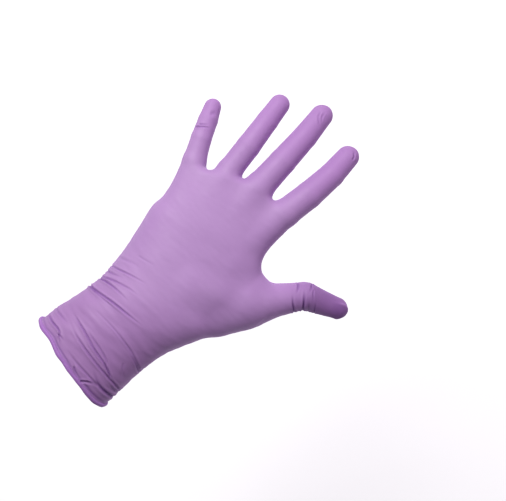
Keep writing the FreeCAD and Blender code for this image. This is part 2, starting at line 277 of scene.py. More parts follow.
# The line pressed in beside the rolled edge: how near the edge it is, its depth and half width
HEM_REACH = 8.0
HEM_PLACE, HEM_WANDER = 2.9, 0.7
HEM_DEPTH, HEM_VARIATION, HEM_GAIN = 0.55, 0.6, 0.7
HEM_WIDTH = 0.6
HEM_FINENESS = (0.055, 0.0, 0.055)

# How far the slack edge of the cuff strays from its plane: place across the back, reach, shift
RIM_LOBES = ((-20.0, 8.0, 1.9), (-3.0, 7.0, 0.5), (27.0, 9.0, -1.5))
RIM_DEPTH = 15.0

# The cuff film's open edge is the rim where it is this near the mouth's plane
RIM_REACH = 4

# The rolled edge: how far it stands out of the film, its height, its laps, and its unevenness
BEAD_SIDES = 16
BEAD_PROUD, BEAD_TALL = 0.8, 1.35
BEAD_OUT, BEAD_UP = 0.2, 0.5
BEAD_LAPS, BEAD_LAP_HEIGHT, BEAD_LAP_TURN = 3, 0.10, 0.8
BEAD_VARIATION, BEAD_FINENESS = 0.2, 0.16

# How widely the forms run into each other
BODY_SPREAD = 0.5
PALM_END_SPREAD = 5.0
KNUCKLE_SPREAD, THUMB_KNUCKLE_SPREAD = 5.0, 9.0
ROOT_SPREAD, DIGIT_SPREAD = 2.2, 0.7

# The grid's corners, the part of it where the cuff, wrist and palm are, the room round a cone, the
# distance that an empty grid holds, and the least one that is kept inside the palm
GRID_LOW, GRID_HIGH = (-68, -16, -34), (112, 250, 32)
BODY_LOW, BODY_HIGH = (-60, -18, -40), (60, 178, 40)
CONE_MARGIN = 10.0
EMPTY, DEEPEST = 12.0, -8.0

# Where the film of the cuff, wrist, palm and knuckles is divided, along the glove
BODY_CUTS = (30.0, 77.0, 118.0)
CUT_REACH = 2 * CELL

# Where a digit's film is divided: a little past its root, and at a share of each other length
ROOT_CUT, ROOT_CUT_SHARE = 3.0, 0.17
DIGIT_CUT_SHARE = 0.56

# How far behind its root and off its surface a point may be and still belong to a digit, and how
# far off its surface it may be and still take its colour
ROOT_MARGIN = 1.0
DIGIT_REACH = 2.6
COLOUR_REACH = 4

# Where the colour of the digits, the rough fingertips and the cuff's darker colour, partly its own
# and partly painted shade, fade in: how far before the root, the last joint and along the cuff, and
# over what length
TINT_START, TINT_LENGTH = 8, 55
GRIP_START, GRIP_LENGTH = 2, 10
CUFF_COLOUR_END, CUFF_COLOUR_FADE = 20, 75


def smooth_step(value):
    """0 below 0, 1 above 1, and an even turn between."""
    value = np.clip(value, 0.0, 1.0)
    return value * value * (3.0 - 2.0 * value)


def smooth_curve(points, spread=4.0):
    """A function through a few points, rounded over a distance of spread."""
    xs = np.array([point[0] for point in points], float)
    ys = np.array([point[1] for point in points], float)
    grid = np.arange(xs[0] - 3 * spread, xs[-1] + 3 * spread, 0.5)
    kernel = np.exp(-0.5 * (np.arange(-3 * spread, 3 * spread + 0.5, 0.5) / spread) ** 2)
    padded = np.pad(np.interp(grid, xs, ys), len(kernel) // 2, mode="edge")
    smooth = np.convolve(padded, kernel / kernel.sum(), mode="valid")
    return lambda x: np.interp(x, grid, smooth)


def unit(vector):
    """The vector at length one."""
    return vector / np.linalg.norm(vector)


def joint_place(name):
    """A joint's centre in millimetres."""
    return np.array(JOINTS[name]["pos_m"]) / MM


def tip_centre(name, radius, last_joint):
    """The middle of a digit's rounded tip, from the corner of its end node's box."""
    low, high = [np.array(corner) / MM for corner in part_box(name + "_tip")]
    x = high[0] - radius if name == "thumb" else low[0] + radius
    return np.array([x, high[1] - radius, 0.5 * (last_joint[2] + low[2] + radius)])


def digit_chain(name):
    """The points along a digit, from its root to the centre of its tip."""
    digit = DIGITS[name]
    chain = [joint_place(joint) for joint in digit["joints"]]
    chain.append(tip_centre(name, digit["radii"][-1], chain[-1]))
    return [point + np.array(shift) for point, shift in zip(chain, digit["shifts"])]


CHAINS = {name: digit_chain(name) for name in DIGITS}


class Field:
    """Signed distance to the skin on a grid of points, negative inside."""

    def __init__(self, low, high):
        self.axes = [np.arange(a, b, CELL) for a, b in zip(low, high)]
        self.low = np.array(low, float)
        self.value = np.full([len(axis) for axis in self.axes], EMPTY, np.float32)

    def add(self, low, high, distance, spread):
        """Joins a form to the skin, run smoothly into what is there over spread."""
        spans = []
        for axis, a, b in zip(self.axes, low, high):
            spans.append(slice(np.searchsorted(axis, a), np.searchsorted(axis, b)))
        x = self.axes[0][spans[0]][:, None, None]
        y = self.axes[1][spans[1]][None, :, None]
        z = self.axes[2][spans[2]][None, None, :]
        old = self.value[tuple(spans)]
        new = distance(x, y, z)
        near = np.maximum(spread - np.abs(old - new), 0.0) / spread
        self.value[tuple(spans)] = np.minimum(old, new) - near * near * spread * 0.25


def add_cone(field, start, end, start_radius, end_radius, spread):
    """A rounded cone between two points."""
    start, end = np.array(start, float), np.array(end, float)
    span = end - start
    margin = max(start_radius, end_radius) + CONE_MARGIN

    def distance(x, y, z):
        px, py, pz = x - start[0], y - start[1], z - start[2]
        along = np.clip((px * span[0] + py * span[1] + pz * span[2]) / (span @ span), 0, 1)
        dx, dy, dz = px - along * span[0], py - along * span[1], pz - along * span[2]
        radius = start_radius + along * (end_radius - start_radius)
        return np.sqrt(dx * dx + dy * dy + dz * dz) - radius

    field.add(np.minimum(start, end) - margin, np.maximum(start, end) + margin, distance, spread)


def add_body(field):
    """The cuff, wrist and palm, as oval sections between their measured edges."""
    left, right = smooth_curve(ULNAR_EDGE), smooth_curve(THUMB_EDGE, spread=3.0)
    back, front = smooth_curve(BACK_THICKNESS), smooth_curve(PALM_THICKNESS)
    roundness, web = smooth_curve(ROUNDNESS, spread=8.0), smooth_curve(WEB_LINE, spread=2.5)

    def distance(x, y, z):
        middle, half = 0.5 * (left(y) + right(y)), 0.5 * (right(y) - left(y))
        thick = np.where(z > 0, back(y), front(y))
        power = roundness(y)
        across, up = np.abs(x - middle) / half + 1e-4, np.abs(z) / thick + 1e-4
        size = (across**power + up**power) ** (1 / power)
        slope = np.hypot((across / size) ** (power - 1) / half, (up / size) ** (power - 1) / thick)
        side = np.maximum((size - 1) / slope, DEEPEST)
        end = np.broadcast_to(y - web(x), side.shape)
        near = np.maximum(PALM_END_SPREAD - np.abs(side - end), 0.0) / PALM_END_SPREAD
        return np.maximum(side, end) + near * near * PALM_END_SPREAD * 0.25

    field.add(BODY_LOW, BODY_HIGH, distance, BODY_SPREAD)


def make_field():
    """The whole glove as one field."""
    field = Field(GRID_LOW, GRID_HIGH)
    add_body(field)
    for start, end, start_radius, end_radius, spread in MOUNDS:
        add_cone(field, start, end, start_radius, end_radius, spread)
    for name, digit in DIGITS.items():
        chain, radii = CHAINS[name], digit["radii"]
        knuckle = chain[0] + np.array(digit["knuckle"])
        spread = THUMB_KNUCKLE_SPREAD if name == "thumb" else KNUCKLE_SPREAD
        add_cone(field, knuckle, chain[0], digit["knuckle_radius"], radii[0], spread)
    for name, digit in DIGITS.items():
        chain, radii = CHAINS[name], digit["radii"]
        for index in range(len(chain) - 1):
            spread = ROOT_SPREAD if index == 0 else DIGIT_SPREAD
            add_cone(field, chain[index], chain[index + 1], radii[index], radii[index + 1], spread)
    return field


def crossing_points(field, cells):
    """One point in each cell that the surface passes through."""
    total = np.zeros((len(cells), 3))
    count = np.zeros(len(cells))
    corners = [np.array([a, b, c]) for a in (0, 1) for b in (0, 1) for c in (0, 1)]
    values = [field.value[tuple((cells + corner).T)] for corner in corners]
    for first, start in enumerate(corners):
        for second, end in enumerate(corners):
            if first >= second or np.abs(end - start).sum() != 1:
                continue
            a, b = values[first], values[second]
            crosses = (a < 0) != (b < 0)
            share = np.where(crosses, a / np.where(crosses, a - b, 1.0), 0.0)
            total += crosses[:, None] * (start + share[:, None] * (end - start))
            count += crosses
    return field.low + CELL * (cells + total / count[:, None])


def surface_net(field):
    """The surface of a field as points and four-sided faces."""
    inside = field.value < 0
    core = tuple(slice(0, size - 1) for size in inside.shape)
    filled = np.zeros([size - 1 for size in inside.shape], np.uint8)
    for a in (0, 1):
        for b in (0, 1):
            for c in (0, 1):
                shifted = tuple(slice(s.start + d, s.stop + d) for s, d in zip(core, (a, b, c)))
                filled += inside[shifted]
    cells = np.argwhere((filled > 0) & (filled < 8))
    number = np.full(filled.shape, -1, np.int64)
    number[tuple(cells.T)] = np.arange(len(cells))
    faces = []
    for axis in range(3):
        ahead = [slice(1, -1)] * 3
        behind = [slice(1, -1)] * 3
        behind[axis] = slice(0, -1)
        ahead[axis] = slice(1, None)
        start = inside[tuple(behind)]
        edges = np.argwhere(start != inside[tuple(ahead)])
        outward = start[tuple(edges.T)]
        offset = np.ones(3, int)
        offset[axis] = 0
        edges = edges + offset
        u, v = np.eye(3, dtype=int)[(axis + 1) % 3], np.eye(3, dtype=int)[(axis + 2) % 3]
        ring = [number[tuple((edges - step).T)] for step in (u + v, v, 0 * u, u)]
        quads = np.stack(ring, axis=1)
        quads[~outward] = quads[~outward][:, ::-1]
        faces.append(quads)
    return crossing_points(field, cells), np.concatenate(faces)


def relax(points, faces, rounds):
    """Evens out the points of the net, each moved half way to the mean of its neighbours."""
    a = faces.ravel()
    b = np.roll(faces, -1, axis=1).ravel()
    ends, others = np.concatenate([a, b]), np.concatenate([b, a])
    count = np.bincount(ends, minlength=len(points))[:, None]
    for _ in range(rounds):
        mean = [np.bincount(ends, points[others, axis], len(points)) for axis in range(3)]
        points = 0.5 * points + 0.5 * np.stack(mean, axis=1) / count
    return points


def cut_plan():
    """The planes that divide the digits: digit, station, centre and direction of each."""
    cuts = []
    for name, chain in CHAINS.items():
        for index in range(len(chain) - 1):
            span = chain[index + 1] - chain[index]
            length, along = np.linalg.norm(span), unit(span)
            if index == 0:
                past_root = min(ROOT_CUT, ROOT_CUT_SHARE * length)
                cuts.append((name, 0, chain[0] + along * past_root, along))
            if index < len(chain) - 2:
                cuts.append((name, index + 1, chain[index] + DIGIT_CUT_SHARE * span, along))
    return cuts


def near_digit(points, name):
    """Which points are beyond a digit's root, and how far each is off the digit's surface."""
    chain, radii = CHAINS[name], DIGITS[name]["radii"]
    beyond = (points - chain[0]) @ unit(chain[1] - chain[0]) > -ROOT_MARGIN
    nearest = np.full(len(points), FAR)
    for index in range(len(chain) - 1):
        span = chain[index + 1] - chain[index]
        share = np.clip((points - chain[index]) @ span / (span @ span), 0, 1)
        gap = np.linalg.norm(points - chain[index] - share[:, None] * span, axis=1)
        radius = radii[index] + share * (radii[index + 1] - radii[index])
        nearest = np.minimum(nearest, gap - radius)
    return beyond, nearest


def digit_of(points):
    """The digit each point belongs to, or -1 on the palm, wrist and cuff."""
    owner = np.full(len(points), -1)
    best = np.full(len(points), DIGIT_REACH)
    for number, name in enumerate(DIGITS):
        beyond, gap = near_digit(points, name)
        closer = beyond & (gap < best)
        owner[closer] = number
        best[closer] = gap[closer]
    return owner


def bisect(bm, faces, centre, normal, remove):
    """Cuts these faces along a plane, and removes what lies behind it if asked."""
    geometry = set(faces)
    for face in faces:
        geometry.update(face.edges)
        geometry.update(face.verts)
    bmesh.ops.bisect_plane(
        bm,
        geom=list(geometry),
        dist=1e-5,
        plane_co=Vector(centre),
        plane_no=Vector(normal),
        clear_inner=remove,
    )


def cut_skin(points, faces):
    """The skin with clean edges at the rim and along every plane where it is divided."""
    mesh = bpy.data.meshes.new("skin")
    mesh.from_pydata(points.tolist(), [], faces.tolist())
    bm = bmesh.new()
    bm.from_mesh(mesh)
    bm.faces.ensure_lookup_table()
    centres = points[faces].mean(axis=1)
    owner = digit_of(centres)
    jobs = []
    for name, _, centre, along in cut_plan():
        near = (owner == list(DIGITS).index(name)) & (np.abs((centres - centre) @ along) < CUT_REACH)
        jobs.append((near, centre, along, False))
    for place in BODY_CUTS:
        near = np.abs(centres[:, 1] - place) < CUT_REACH
        jobs.append((near, (0, place, 0), (0, 1, 0), False))
    jobs.append((centres @ RIM_NORMAL < CUT_REACH, (0, 0, 0), RIM_NORMAL, True))
    jobs = [([bm.faces[i] for i in np.nonzero(near)[0]], *rest) for near, *rest in jobs]
    for job in jobs:
        bisect(bm, *job)
    bm.to_mesh(mesh)
    bm.free()
    return mesh


def mesh_arrays(mesh):
    """A mesh's points, point normals, and faces as start, length and corner lists."""
    count, loops, sides = len(mesh.vertices), len(mesh.loops), len(mesh.polygons)
    points = np.empty(count * 3)
    mesh.vertices.foreach_get("co", points)
    normals = np.empty(count * 3)
    mesh.vertex_normals.foreach_get("vector", normals)
    start, length, corner = np.empty(sides, int), np.empty(sides, int), np.empty(loops, int)
    mesh.polygons.foreach_get("loop_start", start)
    mesh.polygons.foreach_get("loop_total", length)
    mesh.loops.foreach_get("vertex_index", corner)
    return points.reshape(-1, 3), normals.reshape(-1, 3), start, length, corner


def softened(points, rounds=3):
    """A line of points with its corners cut."""
    line = np.array(points, float)
    for _ in range(rounds):
        first = 0.75 * line[:-1] + 0.25 * line[1:]
        second = 0.25 * line[:-1] + 0.75 * line[1:]
        inner = np.stack([first, second], axis=1).reshape(-1, 2)
        line = np.concatenate([line[:1], inner, line[-1:]])
    return line


def along_line(places, line):
    """For each place, its distance to the side of a line and its share of the way along it."""
    steps = np.diff(line, axis=0)
    run = np.concatenate([[0], np.cumsum(np.linalg.norm(steps, axis=1))])
    best = np.full(len(places), FAR)
    across, along = np.zeros(len(places)), np.zeros(len(places))
    for index, step in enumerate(steps):
        share = np.clip((places - line[index]) @ step / (step @ step), 0, 1)
        gap = places - line[index] - share[:, None] * step
        far = np.linalg.norm(gap, axis=1)
        nearer = far < best
        best[nearer] = far[nearer]
        turn = np.sign(step[0] * gap[:, 1] - step[1] * gap[:, 0])
        across[nearer] = (far * turn)[nearer]
        along[nearer] = (run[index] + share * (run[index + 1] - run[index]))[nearer] / run[-1]
    return across, along


def crease_height(points, normals, crease):
    """How far one crease moves each point, as a groove with a soft fold beside it, and the groove, whose
    depth sets the painted shade in the crease.
    """
    side, depth, width, run_out, route = crease
    line = softened(route)
    reach = CREASE_REACH * width
    flat = points[:, :2]
    close = np.all((flat > line.min(0) - reach) & (flat < line.max(0) + reach), axis=1)
    close &= normals[:, 2] * side > LEAST_FACING
    chosen = np.nonzero(close)[0]
    across, along = along_line(flat[chosen], line)
    groove = -np.exp(-((across / width) ** 2))
    beside = (np.abs(across) - FOLD_PLACE * width) / (FOLD_WIDTH * width)
    fold = FOLD_HEIGHT * np.exp(-(beside**2))
    fade = smooth_step(along / RUN_IN) * (1 - smooth_step((along - 1 + run_out) / run_out))
    facing = smooth_step((normals[chosen, 2] * side + ROUND_THE_EDGE[side]) / EDGE_FADE)
    height, hollow = np.zeros(len(points)), np.zeros(len(points))
    height[chosen] = CREASE_GAIN * depth * (groove + fold) * fade * facing
    hollow[chosen] = -depth * groove * fade * facing
    return height, hollow


def joint_creases():
    """Creases across the palm side of every finger joint."""
    creases = []
    for name, chain in CHAINS.items():
        radii = DIGITS[name]["radii"]
        for index in range(1 if name == "thumb" else 0, len(chain) - 1):
            along = unit(chain[index + 1] - chain[index])
            across = np.array([-along[1], along[0]])
            shift = ROOT_CREASE_SHIFT if index == 0 else 0.0
            centre = chain[index][:2] + along[:2] * shift
            bow = along[:2] * JOINT_CREASE_BOW
            route = [centre - across * radii[index], centre + bow, centre + across * radii[index]]
            creases.append((FRONT, *JOINT_CREASE, route))
    return creases


def nail_height(points, normals, name):
    """How far the nail under a fingertip's film raises each point, and how dark the film is painted
    there, which on the thumb is partly the nail under it and partly painted shade.
    """
    rise, brim, shade = DIGITS[name]["nail"]
    chain, radius = CHAINS[name], DIGITS[name]["radii"][-1]
    along = unit(chain[-1] - chain[-2])
    across = unit(np.cross(along, (0, 0, 1)))
    centre = chain[-1] + across * NAIL_TURN * radius
    u = (points - centre) @ along / (NAIL_LENGTH * radius)
    v = (points - centre) @ across / (NAIL_WIDTH * radius)
    length = np.where(u > 0, u, 0.5 * u)
    size = (np.abs(length) ** NAIL_POWER + np.abs(v) ** NAIL_POWER) ** (1 / NAIL_POWER)
    plate = smooth_step((PLATE_EDGE - size) / PLATE_FADE) * smooth_step(1.0 + 0.7 * u)
    edge = np.exp(-(((size - BRIM_PLACE) / BRIM_WIDTH) ** 2)) * smooth_step(0.6 + 1.2 * u)
    facing = smooth_step((normals[:, 2] - 0.05) / 0.35)
    beyond, gap = near_digit(points, name)
    # Painted shade: darker from before the last joint to the tip, most over the nail plate, and less at
    # its edge, where a lighter arc is a painted highlight on the brim
    reach = smooth_step(((points - chain[-2]) @ along + NAIL_SHADE_START) / NAIL_SHADE_LENGTH)
    dark = shade * reach * (0.85 + 0.35 * plate - 0.6 * edge)
    return (rise * plate + brim * edge) * facing, np.where(beyond & (gap < COLOUR_REACH), dark, 0)


def folds_at(place, fineness, shift=0.0):
    """Noise at a place, stretched to a fineness in each direction."""
    x, y, z = fineness
    return noise.noise((place.x * x + shift, place.y * y, place.z * z))


def drape_height(points):
    """Slack in the film: broad folds at the cuff and wrist, fine ones all over."""
    slack = smooth_curve(SLACK)(points[:, 1])
    height = np.empty(len(points))
    for index, point in enumerate(points):
        place = Vector(point) + SEED_SHIFT
        broad = BROAD_HEIGHT * folds_at(place, BROAD_FOLDS)
        narrow = NARROW_HEIGHT * folds_at(place, NARROW_FOLDS, NARROW_SHIFT)
        fine = FINE_HEIGHT * folds_at(place, FINE_FOLDS)
        height[index] = slack[index] * (broad + narrow) + fine
    return height


def hem_height(points):
    """The line pressed into the film beside its rolled edge, deeper in some places, and its groove,
    which sets a painted shade line there.
    """
    away = points @ RIM_NORMAL
    groove = np.zeros(len(points))
    for index in np.nonzero(away < HEM_REACH)[0]:
        place = Vector(points[index] * HEM_FINENESS) + SEED_SHIFT
        line = HEM_PLACE + HEM_WANDER * noise.noise(place * 2)
        depth = HEM_DEPTH + HEM_VARIATION * noise.noise(place)
        groove[index] = depth * math.exp(-(((away[index] - line) / HEM_WIDTH) ** 2))
    return -HEM_GAIN * groove, groove


def rim_shift(points):
    """How far each point near the mouth moves along the glove, where the edge sags or rises."""
    shift = np.zeros(len(points))
    for place, reach, height in RIM_LOBES:
        shift += height * np.exp(-(((points[:, 0] - place) / reach) ** 2))
    shift *= smooth_step(points[:, 2] / 6.0)
    return shift * (1.0 - smooth_step((points @ RIM_NORMAL) / RIM_DEPTH))


def crease_skin(points, normals):
    """The points moved by every crease, fold and nail, how hollow each is, which sets the painted shade
    in the creases, and how dark the film is painted over the digits' ends.
    """
    height = drape_height(points)
    hollow = np.zeros(len(points))
    for crease in [*CREASES, *joint_creases()]:
        rise, groove = crease_height(points, normals, crease)
        height += rise
        hollow = np.maximum(hollow, groove)
    dark = np.zeros(len(points))
    for name in DIGITS:
        rise, shade = nail_height(points, normals, name)
        height += rise
        dark = np.maximum(dark, shade)
    rise, groove = hem_height(points)
    height += rise
    hollow = np.maximum(hollow, groove)
    moved = points + normals * height[:, None]
    moved[:, 1] += rim_shift(points)
    return moved, hollow, dark


def piece_numbers(centres):
    """The piece each face belongs to, as a list of names and a number for each face."""
    names = ["cuff_film", "wrist_film", "palm_film", "knuckle_film"]
    number = np.searchsorted(BODY_CUTS, centres[:, 1])
    owner = digit_of(centres)
    for name, station, centre, along in cut_plan():
        mine = (owner == list(DIGITS).index(name)) & ((centres - centre) @ along > 0)
        number[mine] = len(names)
        names.append(name + "_film_" + str(station + 1))
    return names, number


def shell(name, points, normals, polygons):
    """A piece of film with its outer face, inner face and edges, as one closed mesh. Also its
    places, the skin point that each comes from, and its open edges as pairs of skin points.
    """
    used = np.unique(np.concatenate(polygons))
    local = np.full(len(points), -1)
    local[used] = np.arange(len(used))
    outer = [local[polygon] for polygon in polygons]
    starts = np.concatenate(outer)
    ends = np.concatenate([np.roll(polygon, -1) for polygon in outer])
    count = len(used)
    forward = starts * count + ends
    open_edge = ~np.isin(forward, ends * count + starts)
    faces = [polygon.tolist() for polygon in outer]
    faces += [(polygon[::-1] + count).tolist() for polygon in outer]
    for a, b in zip(starts[open_edge].tolist(), ends[open_edge].tolist()):
        faces.append([b, a, a + count, b + count])
    outside = points[used]
    inside = outside - normals[used] * FILM
    mesh = bpy.data.meshes.new(name)
    mesh.from_pydata((np.concatenate([outside, inside]) * MM).tolist(), [], faces)
    mesh.shade_smooth()
    both = np.concatenate([normals[used], -normals[used]])
    mesh.normals_split_custom_set_from_vertices(both.tolist())
    piece = bpy.data.objects.new(name, mesh)
    bpy.context.scene.collection.objects.link(piece)
    edges = [(used[a], used[b]) for a, b in zip(starts[open_edge], ends[open_edge])]
    return piece, np.concatenate([outside, inside]), np.concatenate([used, used]), edges


def tint_share(points):
    """How far each point is towards the deeper colour of the digits."""
    share = np.zeros(len(points))
    for name, chain in CHAINS.items():
        along = unit(chain[1] - chain[0])
        beyond, gap = near_digit(points, name)
        reach = smooth_step(((points - chain[0]) @ along + TINT_START) / TINT_LENGTH)
        share = np.maximum(share, np.where(beyond & (gap < COLOUR_REACH), reach, 0))
    return share


def grip_share(points):
    """Where the film is textured: the fingertips."""
    share = np.zeros(len(points))
    for name, chain in CHAINS.items():
        along = unit(chain[-1] - chain[-2])
        beyond, gap = near_digit(points, name)
        reach = smooth_step(((points - chain[-2]) @ along + GRIP_START) / GRIP_LENGTH)
        share = np.maximum(share, np.where(beyond & (gap < COLOUR_REACH), reach, 0))
    return share


def add_attribute(piece, name, values):
    """A number for each point that the material reads."""
    attribute = piece.data.attributes.new(name, "FLOAT", "POINT")
    attribute.data.foreach_set("value", values.astype(np.float32))


def ordered_ring(edges):
    """The rim's points in order round the mouth."""
    following = dict(edges)
    start = edges[0][0]
    ring = [start]
    while following[ring[-1]] != start:
        ring.append(following[ring[-1]])
    return ring


def bead_frames(points, normals):
    """At each point round the mouth, the way out of the film and the way to the mouth."""
    along = np.roll(points, -1, axis=0) - np.roll(points, 1, axis=0)
    along /= np.linalg.norm(along, axis=1)[:, None]
    outward = normals - (normals * along).sum(axis=1)[:, None] * along
    outward /= np.linalg.norm(outward, axis=1)[:, None]
    down = np.cross(along, outward)
    down *= np.sign(-(down @ RIM_NORMAL))[:, None]
    return outward, down


def make_bead(rim_points, rim_normals):
    """The rolled edge of the cuff: film wound on itself into a soft uneven cord."""
    outward, down = bead_frames(rim_points, rim_normals)
    count = len(rim_points) * BEAD_SIDES
    verts, faces = [], []
    for index, point in enumerate(rim_points):
        centre = point + outward[index] * BEAD_OUT - down[index] * BEAD_UP
        wave = noise.noise(Vector(point) * BEAD_FINENESS + SEED_SHIFT)
        swell = 1 + BEAD_VARIATION * wave
        for side in range(BEAD_SIDES):
            angle = 2 * math.pi * side / BEAD_SIDES
            lap = BEAD_LAP_HEIGHT * math.cos(BEAD_LAPS * angle + BEAD_LAP_TURN)
            out = (BEAD_PROUD * swell + lap) * math.cos(angle)
            along_film = (BEAD_TALL * swell + lap) * math.sin(angle)
            verts.append((centre + out * outward[index] + along_film * down[index]) * MM)
            first = index * BEAD_SIDES + side
            second = index * BEAD_SIDES + (side + 1) % BEAD_SIDES
            faces.append((first, second, (second + BEAD_SIDES) % count, (first + BEAD_SIDES) % count))
    mesh = bpy.data.meshes.new("rolled_bead")
    mesh.from_pydata([tuple(v) for v in verts], [], faces)
    bm = bmesh.new()
    bm.from_mesh(mesh)
    bmesh.ops.recalc_face_normals(bm, faces=bm.faces)
    bm.to_mesh(mesh)
    bm.free()
    mesh.shade_smooth()
    bead = bpy.data.objects.new("rolled_bead", mesh)
    bpy.context.scene.collection.objects.link(bead)
    return bead


class Nodes:
    """Short calls for building a material's node tree."""

    def __init__(self, name):
        self.material = bpy.data.materials.new(name)
        self.material.use_nodes = True
        self.tree = self.material.node_tree
        self.shader = self.tree.nodes["Principled BSDF"]
        self.place = self.add("ShaderNodeTexCoord").outputs["Object"]

    def add(self, kind, **settings):
        """A new node with these settings."""
        node = self.tree.nodes.new(kind)
        for key, value in settings.items():
            setattr(node, key, value)
        return node

    def link(self, source, target):
        """Joins an output to an input."""
        self.tree.links.new(source, target)

    def noise(self, scale, detail, stretch=(1, 1, 1)):
        """Cloudy noise, scale in clouds per metre."""
        mapping = self.add("ShaderNodeMapping")
        mapping.inputs["Scale"].default_value = stretch
        texture = self.add("ShaderNodeTexNoise")
        texture.inputs["Scale"].default_value = scale
        texture.inputs["Detail"].default_value = detail
        self.link(self.place, mapping.inputs["Vector"])
        self.link(mapping.outputs["Vector"], texture.inputs["Vector"])
        return texture.outputs["Fac"]

    def maths(self, operation, a, b):
        """One operation on two values, each a number or an output."""
        node = self.add("ShaderNodeMath", operation=operation)
        for socket, value in zip(node.inputs, (a, b)):
            if isinstance(value, (int, float)):
                socket.default_value = value
            else:
                self.link(value, socket)
        return node.outputs["Value"]

    def remap(self, value, low, high, out_low, out_high):
        """A value moved from one range to another."""
        node = self.add("ShaderNodeMapRange")
        self.link(value, node.inputs["Value"])
        node.inputs["From Min"].default_value = low
        node.inputs["From Max"].default_value = high
        node.inputs["To Min"].default_value = out_low
        node.inputs["To Max"].default_value = out_high
        return node.outputs["Result"]

    def mix(self, share, first, second):
        """Two colours mixed, each a colour or an output."""
        node = self.add("ShaderNodeMix", data_type="RGBA")
        self.link(share, node.inputs["Factor"])
        for socket, value in zip((node.inputs[6], node.inputs[7]), (first, second)):
            if isinstance(value, tuple):
                socket.default_value = (*value, 1.0)
            else:
                self.link(value, socket)
        return node.outputs[2]

    def attribute(self, name):
        """A number stored on the mesh's points."""
        return self.add("ShaderNodeAttribute", attribute_name=name).outputs["Fac"]


# Colours of the film: on the back of the hand, the digits and the cuff, in its mottle, the painted
# shade in its creases, on the rolled edge, and over the nails, with painted shade on the thumb's end.
# The cuff's darker colour is partly its own and partly painted shade where less light reaches it.
HAND, DIGIT, CUFF_FILM_AND_SHADE = (0.480, 0.292, 0.575), (0.455, 0.245, 0.555), (0.40, 0.222, 0.475)
SHADE, CREASE_SHADE, ROLL = (0.415, 0.22, 0.52), (0.19, 0.075, 0.30), (0.40, 0.19, 0.54)
NAIL_AND_THUMB_SHADE = (0.20, 0.085, 0.28)

# The film's noises, in clouds per metre, and how much of each shows
MOTTLE_SCALE, MOTTLE_SHARE = 28, 0.28
STREAK_SCALE, STREAK_STRETCH = 60, (1, 2.6, 1)
GRAIN_SCALE, GRAIN_HEIGHT = 2600, 0.25
GRIP_SCALE, GRIP_HEIGHT, GRIP_ROUGHNESS = 900, 0.9, 0.08
CREASE_SHADE_SHARE = 0.9
SATIN_LOW, SATIN_HIGH = 0.50, 0.62


def film_colour(nodes, hand_colour, digit_colour, cuff_colour):
    """The film's colour along the glove, with painted shade in its creases, over the thumb's end and in
    part on the cuff.
    """
    base = nodes.mix(nodes.attribute("tint"), hand_colour, digit_colour)
    # The cuff's deeper colour: partly the loose film's own, partly painted shade where less light
    # reaches it
    base = nodes.mix(nodes.attribute("slack"), base, cuff_colour)
    # Painted shade over the thumb's end, with the darker film over the nail
    base = nodes.mix(nodes.attribute("nail"), base, NAIL_AND_THUMB_SHADE)
    # Painted shade: the film is darkened in the creases and along the line beside the rolled edge
    fold = nodes.maths("MULTIPLY", nodes.attribute("crease"), CREASE_SHADE_SHARE)
    base = nodes.mix(fold, base, CREASE_SHADE)
    clouds = nodes.remap(nodes.noise(MOTTLE_SCALE, 3), 0.35, 0.75, 0.0, 1.0)
    mottle = nodes.maths("MULTIPLY", clouds, MOTTLE_SHARE)
    return nodes.mix(mottle, base, SHADE)


def nitrile(name, hand_colour, digit_colour, cuff_colour):
    """Lilac nitrile: satin, faintly mottled, with a fine dipped grain and rough fingertips."""
    nodes = Nodes(name)
    colour = film_colour(nodes, hand_colour, digit_colour, cuff_colour)
    nodes.link(colour, nodes.shader.inputs["Base Color"])
    satin = nodes.remap(nodes.noise(STREAK_SCALE, 3, STREAK_STRETCH), 0.3, 0.7, SATIN_LOW, SATIN_HIGH)
    tips = nodes.maths("MULTIPLY", nodes.attribute("grip"), GRIP_ROUGHNESS)
    nodes.link(nodes.maths("ADD", satin, tips), nodes.shader.inputs["Roughness"])
    rise = nodes.maths("MULTIPLY", nodes.noise(GRAIN_SCALE, 2), GRAIN_HEIGHT)
    dimples = nodes.maths("MULTIPLY", nodes.noise(GRIP_SCALE, 1), nodes.attribute("grip"))
    dimples = nodes.maths("MULTIPLY", dimples, GRIP_HEIGHT)
    bump = nodes.add("ShaderNodeBump")
    bump.inputs["Strength"].default_value = 0.35
    bump.inputs["Distance"].default_value = 0.0002
    nodes.link(nodes.maths("ADD", rise, dimples), bump.inputs["Height"])
    nodes.link(bump.outputs["Normal"], nodes.shader.inputs["Normal"])
    nodes.shader.inputs["IOR"].default_value = 1.47
    nodes.shader.inputs["Specular IOR Level"].default_value = 0.35
    nodes.shader.inputs["Sheen Weight"].default_value = 0.22
    nodes.shader.inputs["Sheen Tint"].default_value = (0.60, 0.30, 0.85, 1.0)
    nodes.shader.inputs["Sheen Roughness"].default_value = 0.5
    return nodes.material


def bend(piece, name, index):
    """Fixes a digit's piece where it stands and hides the imported node beyond its joint."""
    chain, bodies = CHAINS[name], DIGITS[name]["bodies"]
    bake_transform(piece)
    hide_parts(bodies[index + 1])


def make_skin():
    """The glove's creased skin, and how hollow and how dark it is at each point."""
    points, faces = surface_net(make_field())
    mesh = cut_skin(relax(points, faces, rounds=3), faces)
    points, normals, *_ = mesh_arrays(mesh)
    points, hollow, dark = crease_skin(points, normals)
    mesh.vertices.foreach_set("co", points.ravel())
    mesh.update()
    return mesh, hollow, dark


